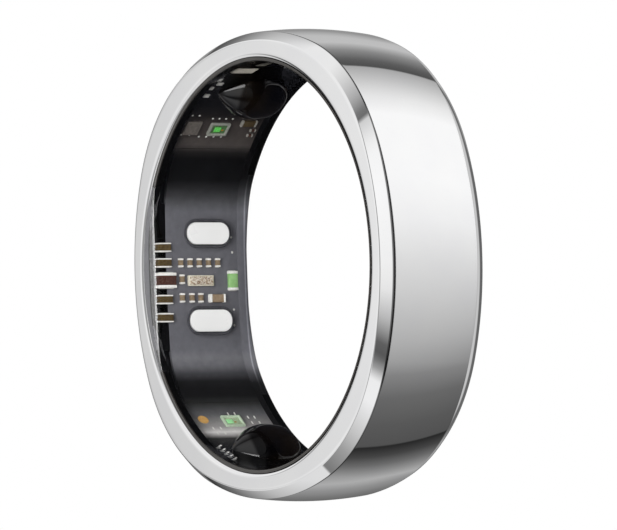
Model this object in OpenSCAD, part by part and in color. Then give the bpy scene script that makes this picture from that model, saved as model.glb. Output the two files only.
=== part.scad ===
// Smart ring: a polished metal band round a clear dark resin lining. The lining holds two sensor
// domes and a flat platform with two charging contacts, and the electronics lie behind it.
// The finger axis is Y, the platform is on the -X side, and the origin is the centre of the bore.

/* [Band] */
// Radius of the round finger bore
bore_r = 11.4; // [11.2:0.1:12.4]
// Width of the band along the finger
band_w = 6.8; // [6.8:0.1:8]
// Thickness from the bore to the outer surface at the middle of each side
side_t = 1.82; // [1.82:0.02:2.4]
// Side arcs' radius less corner arcs' radius: the outline is round at 0, squarer the higher it is
radius_step = 6.875; // [2.5:0.625:7.5]
// Radius of the outer surface's crown across the band
crown_r = 22.5; // [18:0.5:40]
// Depth of the outer chamfer along the finger
chamfer_w = 0.56; // [0.4:0.02:0.6]
// Depth of the outer chamfer towards the finger
chamfer_h = 0.5; // [0.4:0.02:0.54]
// How far the side face's outer edge lies in from the top of the crown
edge_drop = 0.68; // [0.6:0.02:0.7]

/* [Lining] */
// How far the flat platform stands in from the round bore
platform_h = 0.9; // [0.8:0.05:1]
// Thickness of the clear skin over the electronics
skin_t = 0.3; // [0.25:0.01:0.34]
// Rounding of the lining's edges
lip_round = 0.3; // [0.1:0.05:0.4]

/* [Sensor domes] */
// Angle between the platform's middle and each dome
dome_angle = 62; // [58:0.5:66]
// Half length of a dome along the finger
dome_l = 2.3; // [1.9:0.1:2.4]
// Half width of a dome round the bore
dome_w = 1.7; // [1.4:0.1:1.8]
// How far a dome stands in from the bore
dome_h = 1.35; // [0.8:0.05:1.4]
// How far the domes and contacts sit behind the middle of the band
window_y = 0.45; // [0:0.05:0.5]

/* [Charging contacts] */
// Length of a contact along the finger
contact_l = 2.84; // [2:0.02:3]
// Width of a contact
contact_w = 1.27; // [0.9:0.01:1.4]
// Distance between the two contacts, centre to centre
contact_pitch = 5.04; // [4.8:0.02:5.4]
// How far a contact stands proud of the platform
contact_proud = 0.05; // [0.02:0.01:0.1]

/* [Battery] */
// Half of the arc that the battery fills
battery_arc = 84; // [60:1:84]
// Thickness of the battery cell
battery_t = 0.6; // [0.4:0.05:0.6]
// Width of the battery cell along the finger
battery_w = 4.6; // [3:0.1:5]

/* [Hidden] */
$fn = 96;

// The outer outline is eight tangent arcs: four wide ones on the sides, four tighter at the corners.
// They meet on lines at the angle of a 44-117-125 triangle, through the corner arcs' centres.
meet = [0.936, 0.352];
corner_c = radius_step * meet[1];
side_c = radius_step * meet[0] - corner_c;
side_r = bore_r + side_t + side_c;
corner_r = side_r - radius_step;

// Longer than any radius of the outline, and how far a cut reaches past what it cuts
outer_max = 15;
beyond = 1;

// The metal is a channel that opens to the finger, with a flange at the front and rear
half_w = band_w / 2;
flange_t = 0.55;
channel_half = half_w - flange_t;
channel_r = bore_r + 1.15;
flange_r = bore_r + 0.22;
face_r = bore_r + 0.56;
lip_drop = 0.1;

// The lining fills the channel with a little room all round
gap = 0.02;
platform_x = bore_r - platform_h;
lip_half = half_w - lip_drop;
lip_in = 0.19;
pocket_half = channel_half - gap;

// Layers behind the skin: the flat main board, and the curved sensor boards
part_h = 0.4;
board_x = platform_x + skin_t + part_h;
board_t = 0.35;
board_z = 4.3;
board_front = -2.2;
board_rear = 2.75;
sensor_r = bore_r + 0.67;
sensor_board_t = 0.2;
sensor_w = 5.4;
layer_gap = 0.01;

// The arcs that the sensor boards and their flexes fill, from +X round to the platform at 180
sensor_a0 = 99.5;
sensor_a1 = 141.5;
recess_a0 = 101;
recess_a1 = 140.6;
rib_a0 = 92;
rib_a1 = 99;
end_ledge = 0.3;
middle_a = 180;

// Points on an arc
function arc(x, y, r, a0, a1, n = 6) =
  [for (i = [0:n]) let(a = a0 + (a1 - a0) * i / n) [x + r * cos(a), y + r * sin(a)]];

// Turns a solid of revolution round Z into one round the finger axis
module round_finger() {
  rotate([90, 0, 0]) children();
}

// A curved bar with a rectangular section between two angles
module sector(r0, r1, a0, a1, w, y = 0) {
  translate([0, y, 0]) round_finger() rotate([0, 0, a0]) rotate_extrude(angle = a1 - a0)
    translate([r0, -w / 2]) square([r1 - r0, w]);
}

// Places a piece on the curved wall at radius r, with its Z towards the finger
module on_wall(angle, y, r = sensor_r) {
  translate([0, y, 0]) rotate([0, -angle, 0]) translate([r, 0, 0]) rotate([0, -90, 0]) children();
}

// Places a piece on the front of the flat main board, with its Z towards the finger
module on_board(y, z, x = board_x) {
  translate([-x, y, z]) rotate([0, 90, 0]) children();
}

// Places a piece on the back of the flat main board, with its Z away from the finger
module behind_board(y, z) {
  translate([-board_x - board_t, y, z]) rotate([0, -90, 0]) children();
}

// A flat piece with round ends: l long on Y, w wide on X, h high
module stadium(l, w, h) {
  translate([-w / 2, -(l - w) / 2, 0]) cube([w, l - w, h]);
  for (s = [-1, 1]) translate([0, s * (l - w) / 2, 0]) cylinder(d = w, h = h);
}

// A block centred on X and Y that stands on Z = 0
module block(x, y, h) {
  translate([-x / 2, -y / 2, 0]) cube([x, y, h]);
}

// A ceramic chip with a solder end at each end of its length on X
module chip_along_x(l, w, h) {
  end = 0.2 * l;
  inset = 0.02;
  block(l - end, w - 2 * inset, h - inset);
  for (s = [-1, 1]) translate([s * (l - end) / 2, 0, 0]) block(end, w, h);
}

// The same chip with its length on Y
module chip_along_y(l, w, h) {
  rotate([0, 0, 90]) chip_along_x(l, w, h);
}

// Metal band
// Section of the band on one arc of the outline: crowned outside, with two chamfers
module band_section(r) {
  depth = 2.7;
  run = (edge_drop + 0.1) / chamfer_h;
  top = [r - edge_drop + run * chamfer_h, half_w - run * chamfer_w];
  intersection() {
    polygon([
      [r - depth, -half_w], [r - edge_drop, -half_w], [top[0], -top[1]],
      top, [r - edge_drop, half_w], [r - depth, half_w]
    ]);
    translate([r - crown_r, 0]) circle(crown_r, $fn = 720);
  }
}

// One arc of the outline: a ring round its own centre, kept only within the wedge of its ends
module band_arc(r, centre, wedge) {
  round_finger() intersection() {
    translate(centre) rotate_extrude() band_section(r);
    translate([0, 0, -band_w]) linear_extrude(2 * band_w) polygon(wedge);
  }
}

module outer_shell() {
  edge_r = (pow(face_r - flange_r, 2) + pow(lip_drop, 2)) / (2 * lip_drop);
  edge_a = 90 + atan2(face_r - flange_r, edge_r - lip_drop);
  rear_edge = arc(face_r, half_w - edge_r, edge_r, edge_a, 90, 4);
  front_edge = [for (p = rear_edge) [p[0], -p[1]]];
  corner = [corner_c, corner_c];
  end = corner + outer_max * meet;
  color("silver") difference() {
    union() for (k = [0:3]) rotate([0, 90 * k, 0]) {
      band_arc(side_r, [-side_c, 0], [[corner_c, -corner_c], [end[0], -end[1]], end, corner]);
      band_arc(corner_r, corner, [corner, end, [end[1], end[0]]]);
    }
    round_finger() rotate_extrude() polygon(concat(
      [[0, -half_w - beyond], [face_r, -half_w - beyond]],
      [for (i = [len(front_edge) - 1:-1:0]) front_edge[i]],
      [[flange_r, -channel_half], [channel_r, -channel_half]],
      [[channel_r, channel_half], [flange_r, channel_half]],
      rear_edge,
      [[face_r, half_w + beyond], [0, half_w + beyond]]
    ));
  }
}

// Clear lining
// The space that the finger passes: a round bore with rounded lips, cut off by the flat platform
module bore_space() {
  wall_half = lip_half - lip_in - lip_round / 2;
  out = half_w + beyond;
  round_profile = concat(
    arc(bore_r + lip_round, wall_half, lip_round, 180, 90),
    [[bore_r + lip_round + beyond, out]]
  );
  flat_profile = concat(
    [[-platform_x - lip_round - beyond, -out]],
    [for (p = arc(platform_x + lip_round, -wall_half, lip_round, 270, 180)) [-p[0], p[1]]],
    [for (p = arc(platform_x + lip_round, wall_half, lip_round, 180, 90)) [-p[0], p[1]]],
    [[-platform_x - lip_round - beyond, out]]
  );
  intersection() {
    round_finger() rotate_extrude() polygon(concat(
      [[0, -out]],
      [for (i = [len(round_profile) - 1:-1:0]) [round_profile[i][0], -round_profile[i][1]]],
      round_profile,
      [[0, out]]
    ));
    translate([0, 0, -2 * bore_r]) linear_extrude(4 * bore_r)
      polygon(concat(flat_profile, [[2 * bore_r, out], [2 * bore_r, -out]]));
  }
}

// Room for the main board and its parts behind the platform
module board_pocket() {
  deep = channel_r + beyond;
  translate([-deep, -pocket_half, -board_z - gap])
    cube([deep - board_x, 2 * pocket_half, 2 * (board_z + gap)]);
  translate([-deep, -pocket_half, -board_z + end_ledge])
    cube([deep - board_x + part_h, 2 * pocket_half, 2 * (board_z - end_ledge)]);
}

// Room for a sensor board and its parts: +1 is the upper one, -1 the lower
module sensor_pocket(side) {
  deep = channel_r + beyond;
  mirror([0, 0, side > 0 ? 0 : 1]) {
    sector(sensor_r - layer_gap, deep, rib_a1, middle_a + 1, band_w);
    sector(bore_r + skin_t, deep, recess_a0, recess_a1, band_w);
  }
}

module inner_liner() {
  flat_in = platform_x - lip_round;
  out_r = channel_r - gap;
  lip_r = flange_r - gap;
  color([0.1, 0.1, 0.11, 0.6]) difference() {
    round_finger() rotate_extrude() polygon([
      [flat_in, -lip_half + lip_in], [lip_r, -lip_half], [lip_r, -pocket_half],
      [out_r, -pocket_half], [out_r, pocket_half], [lip_r, pocket_half],
      [lip_r, lip_half], [flat_in, lip_half - lip_in]
    ]);
    bore_space();
    board_pocket();
    for (side = [-1, 1]) {
      sensor_pocket(side);
      dome_seat(side);
      on_board(window_y, side * contact_pitch / 2)
        stadium(contact_l + 2 * gap, contact_w + 2 * gap, part_h + skin_t + beyond);
    }
    sector(bore_r + skin_t, channel_r + beyond, -rib_a0, rib_a0, band_w);
    sector(sensor_r, channel_r + beyond, rib_a0 - 1, rib_a1 + 1, tab_room);
  }
}

// Sensor domes
// A dome is a capsule along the finger, sunk until its half width at the wall is dome_w
dome_r = (dome_w * dome_w + dome_h * dome_h) / (2 * dome_h);
seat_r = bore_r + 0.6;
seat_h = 2;

module capsule(r, l) {
  rotate([-90, 0, 0]) rotate_extrude() intersection() {
    union() {
      for (s = [-1, 1]) translate([0, s * (l / 2 - r)]) circle(r);
      square([2 * r, l - 2 * r], center = true);
    }
    translate([0, -l / 2]) square([r, l]);
  }
}

module dome_seat(side) {
  on_wall(middle_a - side * dome_angle, window_y, seat_r)
    stadium(2 * (dome_l - dome_w + dome_r + gap), 2 * (dome_r + gap), seat_h);
}

module sensor_dome(side) {
  color([0.06, 0.06, 0.07]) intersection() {
    on_wall(middle_a - side * dome_angle, window_y, bore_r + dome_r - dome_h)
      capsule(dome_r, 2 * (dome_l - dome_w + dome_r));
    round_finger() cylinder(r = bore_r + skin_t, h = band_w, center = true);
  }
}

module upper_sensor_dome() { sensor_dome(1); }
module lower_sensor_dome() { sensor_dome(-1); }

// Charging contacts
seal_l = contact_l + 0.9;
seal_w = contact_w + 0.84;
seal_t = 0.2;
post_d = 0.7;
post_y = 0.7;

module contact_pad(side) {
  color("white") on_board(window_y, side * contact_pitch / 2, platform_x + skin_t + seal_t)
    stadium(contact_l, contact_w, skin_t + seal_t + contact_proud);
}

// A black ring behind the skin that keeps water out round the contact
module contact_seal(side) {
  color("black") on_board(window_y, side * contact_pitch / 2, platform_x + skin_t + seal_t)
    difference() {
      stadium(seal_l, seal_w, seal_t);
      translate([0, 0, -seal_t]) stadium(contact_l, contact_w, 3 * seal_t);
    }
}

module upper_contact_pad() { contact_pad(1); }
module lower_contact_pad() { contact_pad(-1); }
module upper_contact_seal() { contact_seal(1); }
module lower_contact_seal() { contact_seal(-1); }

module contact_posts() {
  color("goldenrod") for (side = [-1, 1], y = [-post_y, post_y])
    on_board(window_y + y, side * contact_pitch / 2) cylinder(d = post_d, h = part_h - seal_t);
}

// Main board and its parts
module main_board() {
  color("dimgray") translate([-board_x - board_t, board_front, -board_z])
    cube([board_t, board_rear - board_front, 2 * board_z]);
}

// Black rail that carries the front ends of the edge parts
module front_rail() {
  color([0.03, 0.03, 0.03]) translate([-board_x - board_t, -board_rear, -board_z])
    cube([board_t, board_rear + board_front, 2 * board_z]);
}

module system_chip() { color([0.1, 0.1, 0.1]) behind_board(0.3, 1.6) block(2.4, 2.6, 0.5); }
module memory_chip() { color([0.13, 0.13, 0.13]) behind_board(0.6, -1.2) block(1.6, 2, 0.4); }
module power_chip() { color([0.16, 0.16, 0.17]) behind_board(0.2, -3.1) block(1.4, 1.6, 0.4); }

module crystal_package() { color("wheat") on_board(0.03, -0.19) block(0.61, 1.71, 0.32); }
module chip_antenna() { color("darkseagreen") on_board(2.2, -0.2) chip_along_x(1.12, 0.62, 0.36); }

// Each row is a list of places along the finger
upper_row_y = [-1.3, -0.67, -0.04, 0.59, 1.22];
lower_row_y = [-1.27, -0.62, -0.01];

module upper_capacitor_row() {
  color("peru") for (y = upper_row_y) on_board(y, 0.84) chip_along_x(0.5, 0.31, 0.3);
}

module lower_capacitor_row() {
  color("peru") for (y = lower_row_y) on_board(y, -1.18) chip_along_x(0.52, 0.31, 0.3);
}

module single_capacitor() { color("peru") on_board(-1.25, -0.11) chip_along_x(0.54, 0.31, 0.3); }
module bulk_capacitor() { color("rosybrown") on_board(1.09, -1.21) chip_along_y(1.06, 0.48, 0.36); }

// The edge parts bridge from the board to the front rail
edge_y = -2.38;
edge_z = [1.73, 0.84, -1.27, -2.32];

module edge_capacitors() {
  color("saddlebrown") for (z = edge_z) on_board(edge_y, z) chip_along_x(0.52, 0.84, 0.34);
}

module edge_inductor() { color("sienna") on_board(-2.25, -0.17) chip_along_x(0.88, 1.1, 0.38); }

// Round test points by the rear edge, two beside each contact
test_z = [2.31, 1.44, -1.86, -2.79];

module test_points() {
  color("gold") for (z = test_z) on_board(2.3, z) cylinder(d = 0.14, h = 0.03);
}

// Sensor boards, and the flexes that run from them past the ends of the main board
flex_r = sensor_r + 0.08;
flex_t = 0.1;
flex_w = 4.6;
flex_a1 = 162;

module flex(side) {
  color([0.05, 0.05, 0.05]) mirror([0, 0, side > 0 ? 0 : 1]) difference() {
    sector(flex_r, flex_r + flex_t, sensor_a1, flex_a1, flex_w);
    translate([-channel_r - beyond, -half_w, -board_z]) cube([channel_r, band_w, 2 * board_z]);
  }
}

module sensor_board(side) {
  color([0.16, 0.16, 0.17]) mirror([0, 0, side > 0 ? 0 : 1])
    sector(sensor_r, sensor_r + sensor_board_t, sensor_a0, sensor_a1, sensor_w);
}

module upper_flex() { flex(1); }
module lower_flex() { flex(-1); }
module upper_sensor_board() { sensor_board(1); }
module lower_sensor_board() { sensor_board(-1); }

// A flat part on a curved board reaches "foot" into the board's curve, and is cut to follow it
foot = 0.03;

module seated(angle, y) {
  intersection() {
    on_wall(angle, y, sensor_r + foot) children();
    round_finger() cylinder(r = sensor_r, h = band_w, center = true, $fn = 360);
  }
}

module photodiode(side) {
  color([0.1, 0.1, 0.25]) seated(middle_a - side * dome_angle, window_y) block(1.5, 1.9, 0.34);
}

module upper_photodiode() { photodiode(1); }
module lower_photodiode() { photodiode(-1); }

// An open-topped package with the light die on its floor
led_l = 1.3;
led_w = 0.94;
led_h = 0.32;
led_wall = 0.12;
led_floor = 0.18;

module led_package(angle, y) {
  color("gainsboro") seated(angle, y) difference() {
    block(led_w, led_l, led_h);
    translate([0, 0, led_floor]) block(led_w - 2 * led_wall, led_l - 2 * led_wall, led_h);
  }
}

// The die stands on the floor of its package
module led_die(angle, y, x, along) {
  color("lightgreen") on_wall(angle, y, sensor_r + foot) translate([x, along, led_floor])
    block(0.34, 0.42, 0.1);
}

upper_led = [134.4, -0.1];
lower_led = [226.3, 0.08];

module upper_led_package() { led_package(upper_led[0], upper_led[1]); }
module lower_led_package() { led_package(lower_led[0], lower_led[1]); }
module upper_led_die() { led_die(upper_led[0], upper_led[1], 0, -0.1); }
module lower_led_die() { led_die(lower_led[0], lower_led[1], 0.05, -0.25); }

module front_end_chip() { color("dimgray") seated(134, -1.93) block(1, 1, 0.3); }
module sensor_capacitor() { color("peru") seated(132.1, 1.76) chip_along_y(1.06, 0.46, 0.3); }

module sensor_resistors() {
  color("brown") {
    seated(134.8, 2.28) chip_along_y(0.4, 0.2, 0.2);
    seated(136.6, 2.22) chip_along_y(0.4, 0.2, 0.2);
  }
}

// Metal-lidded package above the upper dome
module motion_sensor() {
  color("silver") seated(103.9, -1.68) block(0.9, 1.5, 0.34);
}

// Small parts in front of the upper dome
edge_passive_places = [[111.6, -2.45], [114, -2.1], [116.6, -2.45], [120.4, -2.3]];

module edge_passives() {
  color("silver") for (p = edge_passive_places) seated(p[0], p[1]) chip_along_x(0.3, 0.4, 0.2);
}

// Solder joints in short rows round the light packages
joint_d = 0.13;
joint_h = 0.08;

module joint(angle, y) {
  seated(angle, y) cylinder(d = joint_d, h = joint_h);
}

module upper_solder_joints() {
  color("silver") {
    for (y = [-2.27, -1.8]) joint(129.5, y);
    for (y = [-2.39, -1.84]) joint(136.8, y);
    for (k = [0:3]) joint(130.6, -0.8 + 0.45 * k);
    for (k = [0:3]) joint(137.4, -1.15 + 0.5 * k);
  }
}

module lower_solder_joints() {
  color("silver") {
    for (y = [1.31, 1.75]) joint(224.5, y);
    for (y = [1.36, 1.87]) joint(226.8, y);
    for (y = [0.1, 0.55]) joint(223, y);
    for (y = [-1.5, -1]) joint(229, y);
    for (y = [-1.45, -0.95]) joint(231.4, y);
  }
}

// A thin flat disc, a hair clear of the curve of its board
module temperature_pad() {
  color("gold") on_wall(225.2, -1.81, sensor_r - 0.01) cylinder(d = 0.66, h = 0.05);
}

// Five bare fingers at the front edge of the lower sensor board
module connector_fingers() {
  color("silver") for (k = [0:4]) seated(239.2 + 2.15 * k, -2.3) block(0.14, 0.76, 0.07);
}

// Battery, curved round the +X side
battery_r = bore_r + skin_t + 0.08;
adhesive_arc = 70;
adhesive_w = 3.4;
film_w = 5;
tab_y = 1.2;
tab_w = 0.6;
tab_room = 2 * tab_y + tab_w + 0.6;
tab_r = bore_r + 0.72;
tab_t = 0.08;
seal_a = 2;
fold_t = 0.05;
protection_t = 0.2;
protection_r = tab_r - protection_t;
protection_a = 89;

module battery_cell() {
  edge = battery_t / 2;
  color("lightsteelblue") round_finger() rotate([0, 0, -battery_arc])
    rotate_extrude(angle = 2 * battery_arc) {
      translate([battery_r, -battery_w / 2 + edge]) square([battery_t, battery_w - 2 * edge]);
      for (s = [-1, 1]) translate([battery_r + edge, s * (battery_w / 2 - edge)]) circle(edge);
    }
}

module battery_adhesive() {
  color("khaki")
    sector(bore_r + skin_t + gap, battery_r, -adhesive_arc, adhesive_arc, adhesive_w);
}

module battery_film() {
  color("orange")
    sector(battery_r + battery_t + gap, channel_r - gap, -battery_arc, battery_arc, film_w);
}

// Sealed end of the battery's pouch, where the tabs come out
module battery_seal() {
  color("slategray")
    sector(tab_r - fold_t, tab_r + tab_t + fold_t, battery_arc, battery_arc + seal_a, 4);
}

module battery_tab(side) {
  color("gainsboro")
    sector(tab_r, tab_r + tab_t, battery_arc + seal_a, sensor_a0, tab_w, side * tab_y);
}

module battery_tab_positive() { battery_tab(1); }
module battery_tab_negative() { battery_tab(-1); }

module protection_board() {
  color("darkgreen") sector(protection_r, tab_r, protection_a - 2.4, protection_a + 2.4, 3.8);
}

module protection_chip() {
  color([0.1, 0.1, 0.1]) intersection() {
    on_wall(protection_a, 0, protection_r + foot) block(0.8, 1.2, 0.2);
    round_finger() cylinder(r = protection_r, h = band_w, center = true, $fn = 360);
  }
}

outer_shell();
inner_liner();
upper_sensor_dome();
lower_sensor_dome();
upper_contact_pad();
lower_contact_pad();
upper_contact_seal();
lower_contact_seal();
contact_posts();
main_board();
front_rail();
system_chip();
memory_chip();
power_chip();
crystal_package();
chip_antenna();
upper_capacitor_row();
lower_capacitor_row();
single_capacitor();
bulk_capacitor();
edge_capacitors();
edge_inductor();
test_points();
upper_flex();
lower_flex();
upper_sensor_board();
lower_sensor_board();
upper_photodiode();
lower_photodiode();
upper_led_package();
lower_led_package();
upper_led_die();
lower_led_die();
front_end_chip();
sensor_capacitor();
sensor_resistors();
motion_sensor();
edge_passives();
upper_solder_joints();
lower_solder_joints();
temperature_pad();
connector_fingers();
battery_cell();
battery_adhesive();
battery_film();
battery_seal();
battery_tab_positive();
battery_tab_negative();
protection_board();
protection_chip();
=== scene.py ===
# Smart ring: a polished metal band round a lining of clear resin, with the electronics seen
# through the resin. Lengths are in millimetres, and mm turns them to metres.
# The finger axis is Y, and the platform with the contacts is on the -X side.
import math

import bpy
import numpy as np
from mathutils import Matrix, Vector


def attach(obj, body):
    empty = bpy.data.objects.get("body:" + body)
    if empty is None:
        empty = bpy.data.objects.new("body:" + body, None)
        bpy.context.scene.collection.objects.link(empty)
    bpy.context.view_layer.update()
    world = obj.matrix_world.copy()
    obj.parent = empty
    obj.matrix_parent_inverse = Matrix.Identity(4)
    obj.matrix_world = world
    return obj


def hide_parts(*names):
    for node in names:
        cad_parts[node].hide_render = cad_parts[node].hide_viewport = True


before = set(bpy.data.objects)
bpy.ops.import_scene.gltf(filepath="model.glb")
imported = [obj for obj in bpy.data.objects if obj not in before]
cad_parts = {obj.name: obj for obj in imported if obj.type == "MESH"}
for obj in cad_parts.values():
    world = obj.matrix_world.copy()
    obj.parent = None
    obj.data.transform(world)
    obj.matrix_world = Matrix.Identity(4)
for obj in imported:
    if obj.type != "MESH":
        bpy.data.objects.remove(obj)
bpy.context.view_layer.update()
mm = 0.001
print("frame loaded:", len(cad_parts), "nodes")


# Helpers for materials

def linearGrey(level):
    # sRGB to linear, above the straight piece near black
    return ((level + 0.055) / 1.055) ** 2.4


def linearColour(hexCode):
    # sRGB to linear: a straight piece near black, and a power of 2.4 above it
    values = np.array([int(hexCode[i:i + 2], 16) for i in (1, 3, 5)]) / 255
    return (*np.where(values <= 0.04045, values / 12.92, linearGrey(values)).tolist(), 1.0)


def addNode(tree, kind, inputs=None, **settings):
    # An input is a value, a socket to link, or a node whose first output is linked
    node = tree.nodes.new("ShaderNode" + kind)
    for name, value in settings.items():
        setattr(node, name, value)
    for socket, value in (inputs or {}).items():
        if isinstance(value, bpy.types.Node):
            value = value.outputs[0]
        if isinstance(value, bpy.types.NodeSocket):
            tree.links.new(value, node.inputs[socket])
        else:
            node.inputs[socket].default_value = value
    return node


def newMaterial(name):
    material = bpy.data.materials.new(name)
    material.use_nodes = True
    material.node_tree.nodes.clear()
    return material, material.node_tree


def setStops(ramp, stops):
    # stops are (position from 0 to 1, colour)
    while len(ramp.elements) > 1:
        ramp.elements.remove(ramp.elements[-1])
    ramp.elements[0].position, ramp.elements[0].color = stops[0]
    for position, colour in stops[1:]:
        ramp.elements.new(position).color = colour


# Helpers for meshes: a piece is one or more closed surfaces, each (points, faces, material index)

touch = 0.01  # two lengths nearer than this, in mm, count as the same


def addObject(name, data):
    thing = bpy.data.objects.new(name, data)
    bpy.context.scene.collection.objects.link(thing)
    return thing


def addMesh(name, points, faces, materials):
    mesh = bpy.data.meshes.new(name)
    mesh.from_pydata(points * mm, [], faces)
    for material in materials:
        mesh.materials.append(material)
    return addObject(name, mesh)


def fullTurn(count):
    return np.arange(count) * 2 * np.pi / count


def aroundAxis(radius, y, angle):
    # polar coordinates round the finger axis, from +X towards +Z
    return np.stack(np.broadcast_arrays(radius * np.cos(angle), y, radius * np.sin(angle)), -1)


def cornerArcs(steps):
    # four quarter turns, and the side in x and in y on which each one's centre lies
    turn = np.concatenate([np.linspace(0, 0.5, steps) + 0.5 * k for k in range(4)]) * np.pi
    quarter = np.repeat(np.arange(4), steps)
    return turn, np.where((quarter == 0) | (quarter == 3), 1, -1), np.where(quarter < 2, 1, -1)


def gridSurface(grid, material=0, closeRows=True):
    # Quads join each grid point to its neighbours. Columns always wrap round; rows wrap too where
    # closeRows is set, and otherwise the first and last rows are each closed by one face
    rows, columns = grid.shape[:2]
    index = np.arange(rows * columns).reshape(rows, columns)
    here = index if closeRows else index[:-1]
    below = np.roll(index, -1, 0) if closeRows else index[1:]
    quads = np.stack([here, np.roll(here, -1, 1), np.roll(below, -1, 1), below], -1)
    faces = quads.reshape(-1, 4).tolist()
    if not closeRows:
        faces += [index[0][::-1].tolist(), index[-1].tolist()]
    return grid.reshape(-1, 3), faces, material


def ringStack(long, wide, corner, rings, material=0, steps=4, at=(0, 0, 0)):
    # Rounded rectangles stacked on Z. Each ring is (how far it is drawn in, its height): its
    # corners are arcs about centres that lie in from the sides by the drawing-in and the radius,
    # and the radius stays at least 0.3 of the first
    turn, sideX, sideY = cornerArcs(steps)
    inset, height = np.array(rings, float).T[:, :, None]
    radius = np.maximum(corner - inset, 0.3 * corner)
    x = (0.5 * wide - inset - radius) * sideX
    y = (0.5 * long - inset - radius) * sideY
    grid = np.stack(np.broadcast_arrays(
        x + radius * np.cos(turn), y + radius * np.sin(turn), height), -1)
    return gridSurface(grid + np.array(at, float), material, closeRows=False)


def softBlock(long, wide, high, edge, material=0, at=(0, 0, 0)):
    # A block on Z = 0. Its last two rings ease the upper edge in two narrow flats
    rings = [(0, 0), (0, high - edge), (0.3 * edge, high - 0.3 * edge), (0.9 * edge, high)]
    return ringStack(long, wide, 1.3 * edge, rings, material, at=at)


def moved(surfaces, place):
    return [(place(points), faces, material) for points, faces, material in surfaces]


def turned(surfaces):
    # a quarter turn about Z
    return [(points[:, [1, 0, 2]] * [-1, 1, 1], faces, kind) for points, faces, kind in surfaces]


def makePiece(name, surfaces, materials, replaced, sharp=None):
    # "replaced" lists the CAD nodes it stands for, and edges that bend by over "sharp" degrees
    # stay sharp in its shading
    points, faces, kinds, start = [], [], [], 0
    for surfacePoints, surfaceFaces, kind in surfaces:
        points.append(surfacePoints)
        faces += [[start + i for i in face] for face in surfaceFaces]
        kinds += [kind] * len(surfaceFaces)
        start += len(surfacePoints)
    piece = addMesh(name, np.concatenate(points), faces, materials)
    piece.data.polygons.foreach_set("material_index", kinds)
    piece.data.polygons.foreach_set("use_smooth", [True] * len(faces))
    piece.data.update()
    if sharp is not None:
        piece.data.set_sharp_from_angle(angle=math.radians(sharp))
    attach(piece, "root")
    if replaced:
        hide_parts(*replaced)
    return piece


def onBoard(y, z, x):
    # local Z points to the finger (+X), local X down (-Z) and local Y along the finger
    return lambda p: np.stack([p[:, 2] - x, p[:, 1] + y, z - p[:, 0]], -1)


def onWall(angle, y, radius):
    # local Z points to the finger axis, local X round the bore and local Y along the finger
    c, s = math.cos(math.radians(angle)), math.sin(math.radians(angle))
    return lambda p: np.stack([
        (radius - p[:, 2]) * c - p[:, 0] * s, p[:, 1] + y, (radius - p[:, 2]) * s + p[:, 0] * c], -1)


# World and camera

studio = {
    # angle round the finger axis in degrees, from +X over +Z, and the grey that metal shows there
    "rearWall": [(-180, 0.48), (-172, 0.4), (-160, 0.47), (-148, 0.57), (-139, 0.68), (-128, 0.56),
                 (-118, 0.42), (-108, 0.27), (-98.2, 0.15), (-97.8, 0.32), (-80, 0.35),
                 (-60, 0.41), (-45, 0.52), (-30, 0.69), (-15, 0.79), (0, 0.87), (15, 0.95),
                 (30, 0.985), (62, 0.985), (75, 0.91), (90, 0.77), (101.6, 0.66), (102, 0.3),
                 (110, 0.37), (122, 0.54), (135, 0.75), (146, 0.74), (160, 0.56), (170, 0.58),
                 (174, 0.48), (180, 0.48)],
    "frontWall": [(-180, 0.93), (-170, 0.86), (-150, 0.86), (-120.5, 0.88), (-119.5, 0.47),
                  (-104, 0.62), (-92, 0.77), (-70, 0.95), (-56, 0.94), (-48, 0.62), (-40, 0.34),
                  (-35, 0.38), (-24, 0.74), (-12, 0.91), (0, 0.95), (30, 0.985), (46, 0.97),
                  (56, 0.9), (65.5, 0.81), (66.5, 0.42), (71, 0.46), (80, 0.67), (92, 0.82),
                  (104, 0.92), (150, 0.92), (173, 0.94), (177.6, 0.93), (178.4, 0.88),
                  (178.9, 0.94), (180, 0.93)],
    # along the finger axis: how far the front wall darkens towards the gap before the rear wall
    "wallsGap": [(-1, 1), (-0.18, 1), (0, 0.84), (0.1, 0.68), (0.2, 0.5), (0.3, 0.36), (1, 0.33)],
    "wallsMeet": (0.335, 0.345),
    # a dark flag stands just past what the chamfer reflects. Its place is y + lean * x
    "flagLean": 0.48, "flagPast": (-0.42, -0.28), "flagSide": (-0.8, -0.5), "flagDepth": 0.78,
    # a low black slot on the left, which the thin dark lines along the edges come from
    "slotSide": (-0.72, -0.82), "slotAlong": (-0.6, -0.38), "slotHeight": (0.3, 0.14),
    "slotDepth": 0.95,
    # what lies straight in front of the ring and straight behind it is plain
    "frontEnd": (-0.86, -0.93), "frontGrey": 0.62,
    "rearEnd": (0.78, 0.83), "rearSide": (0.45, 0.3), "rearGlow": (-0.3, 0.0),
    "rearGreys": (0.4, 0.8),
    "metalGloss": 0.94,  # what the steel gives back of the light
}


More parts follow.
